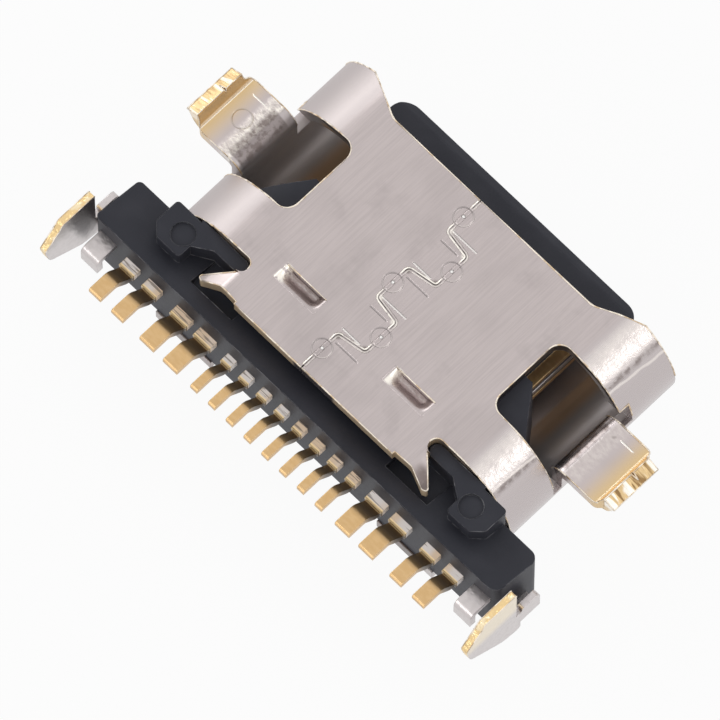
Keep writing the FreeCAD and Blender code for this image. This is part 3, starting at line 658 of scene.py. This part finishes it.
# the seam pressed shut: a flat ribbon along the toothed line, its corners rounded by a running mean
def makeSeam():
    ring = seam["firstY"] + np.arange(seam["rings"]) * seam["pitch"]
    reachY = ribbon["tooth"] * seam["pitch"] / 2
    ways = np.where(np.arange(seam["rings"]) % 2 == 0, -1.0, 1.0) * seam["ringX"]
    corners = np.stack([np.repeat(ways, 2), (ring[:, None] + [-reachY, reachY]).ravel()], axis=1)
    corners[0, 1], corners[-1, 1] = ribbon["backY"], ribbon["frontY"]
    lengths = np.concatenate([[0], np.cumsum(np.linalg.norm(np.diff(corners, axis=0), axis=1))])
    steps = np.arange(0, lengths[-1], ribbon["step"])
    line = np.stack([np.interp(steps, lengths, corners[:, k]) for k in (0, 1)], axis=1)
    wide = int(ribbon["blur"] / ribbon["step"] / 2)
    padded = np.pad(line, ((wide, wide), (0, 0)), mode="reflect", reflect_type="odd")
    kernel = np.ones(2 * wide + 1) / (2 * wide + 1)
    line = np.stack([np.convolve(padded[:, k], kernel, mode="valid") for k in (0, 1)], axis=1)
    along = np.gradient(line, axis=0)
    along /= np.linalg.norm(along, axis=1, keepdims=True)
    normal = np.stack([along[:, 1], -along[:, 0]], axis=1)
    across = np.linspace(-1, 1, ribbon["columns"])
    flat = line[:, None] + normal[:, None] * across[None, :, None] * ribbon["halfWidth"]
    z = ribbon["level"] + ribbon["crown"] * (1 - across ** 2)
    points = np.concatenate([flat, np.broadcast_to(z[None, :, None], flat.shape[:2] + (1,))], axis=2)
    mesh = gridMesh("seamRibbon", points[:, ::-1])
    centres = np.stack([ways, ring], axis=1)
    nearest = np.min(np.linalg.norm(line[:, None] - centres[None], axis=2), axis=1)
    jog = smooth(nearest, seam["radius"] - ribbon["inward"], seam["radius"] + ribbon["outward"])
    for label, values in (("across", np.broadcast_to(across[::-1], flat.shape[:2])),
                          ("jog", np.broadcast_to(jog[:, None], flat.shape[:2]))):
        layer = mesh.attributes.new(label, "FLOAT", "POINT")
        layer.data.foreach_set("value", values.ravel().astype(np.float32))
    thicken(settle("seamRibbon", mesh, seamFinish), ribbon["wall"])


slotOf = {part["node"]: part["material_slot"] for part in frame["record"]["subparts"]}
for name in nodes:
    dress(name, slotOf[name])
print("skins made:", len(nodes))
makeLance("lanceDishLeft", -lance["x"])
makeLance("lanceDishRight", lance["x"])
makeSeam()
print("lances and seam pressed")

# each lamp: where it stands and how wide it is, in metres, then its power
studio = {"floorHalf": 0.6, "card": (0.86, 0.86, 0.86, 1), "whiteness": 0.94, "worldLight": 0.55,
          "lamps": [((-0.42, 0.16, 0.30), 0.20, 0.30), ((-0.10, -0.45, 0.22), 0.16, 0.20),
                    ((0.40, 0.20, 0.30), 0.14, 0.14)]}


# white for the camera and for reflections, a plain light for the rest
def seen(wire):
    path = wire.add("ShaderNodeLightPath").socket.node.outputs
    names = ("Is Camera Ray", "Is Glossy Ray", "Is Transmission Ray")
    camera, glossy, through = (Wire(wire.tree, path[n]) for n in names)
    return wire.maths("MINIMUM", camera + glossy + through, 1.0)


def makeFloor():
    half = studio["floorHalf"]
    mesh = bpy.data.meshes.new("paleFloor")
    corners = [(-half, -half, 0), (half, -half, 0), (half, half, 0), (-half, half, 0)]
    mesh.from_pydata(corners, [], [(0, 1, 2, 3)])
    floor = bpy.data.objects.new("paleFloor", mesh)
    bpy.context.scene.collection.objects.link(floor)
    made, w = startMaterial("paleCard")
    matt = w.add("ShaderNodeBsdfDiffuse", {}, {"Color": studio["card"]})
    glow = w.add("ShaderNodeEmission", {}, {"Color": (1, 1, 1, 1), "Strength": 1.0})
    mixed = w.add("ShaderNodeMixShader", {}, {0: seen(w) * studio["whiteness"], 1: matt, 2: glow})
    w.add("ShaderNodeOutputMaterial", {}, {"Surface": mixed})
    mesh.materials.append(made)


def makeWorld():
    world = bpy.data.worlds.new("studioWorld")
    world.use_nodes = True
    world.node_tree.nodes.clear()
    w = Wire(world.node_tree)
    light = studio["worldLight"]
    strength = light + seen(w) * (1 - light)
    sky = w.add("ShaderNodeBackground", {}, {"Color": (1, 1, 1, 1), "Strength": strength})
    w.add("ShaderNodeOutputWorld", {}, {"Surface": sky})
    bpy.context.scene.world = world


def makeLamps():
    for k, (spot, size, power) in enumerate(studio["lamps"]):
        data = bpy.data.lights.new("softLamp%d" % k, "AREA")
        data.size, data.energy = size, power
        lamp = bpy.data.objects.new("softLamp%d" % k, data)
        lamp.location = spot
        lamp.rotation_euler = (-Vector(spot)).to_track_quat("-Z", "Y").to_euler()
        bpy.context.scene.collection.objects.link(lamp)


shot = {"away": (0.248, -0.245, 0.937), "right": (0.704, 0.710, 0.0), "centre": (-0.043, -1.153, 1.58),
        "distance": 0.34, "width": 0.7200 / 50.4, "sensor": 36.0, "clip": (0.01, 10.0)}


def makeCamera():
    back = Vector(shot["away"]).normalized()
    right = (Vector(shot["right"]) - Vector(shot["right"]).dot(back) * back).normalized()
    up = back.cross(right)
    data = bpy.data.cameras.new("shotCamera")
    data.sensor_width = shot["sensor"]
    data.lens = shot["sensor"] * shot["distance"] / shot["width"]
    data.clip_start, data.clip_end = shot["clip"]
    camera = bpy.data.objects.new("shotCamera", data)
    turn = Matrix((right, up, back)).transposed().to_4x4()
    camera.matrix_world = Matrix.Translation(Vector(shot["centre"]) * mm + back * shot["distance"]) @ turn
    bpy.context.scene.collection.objects.link(camera)
    bpy.context.scene.camera = camera


makeFloor()
makeWorld()
makeLamps()
makeCamera()
bpy.context.scene.view_settings.view_transform = "Standard"
print("studio ready")
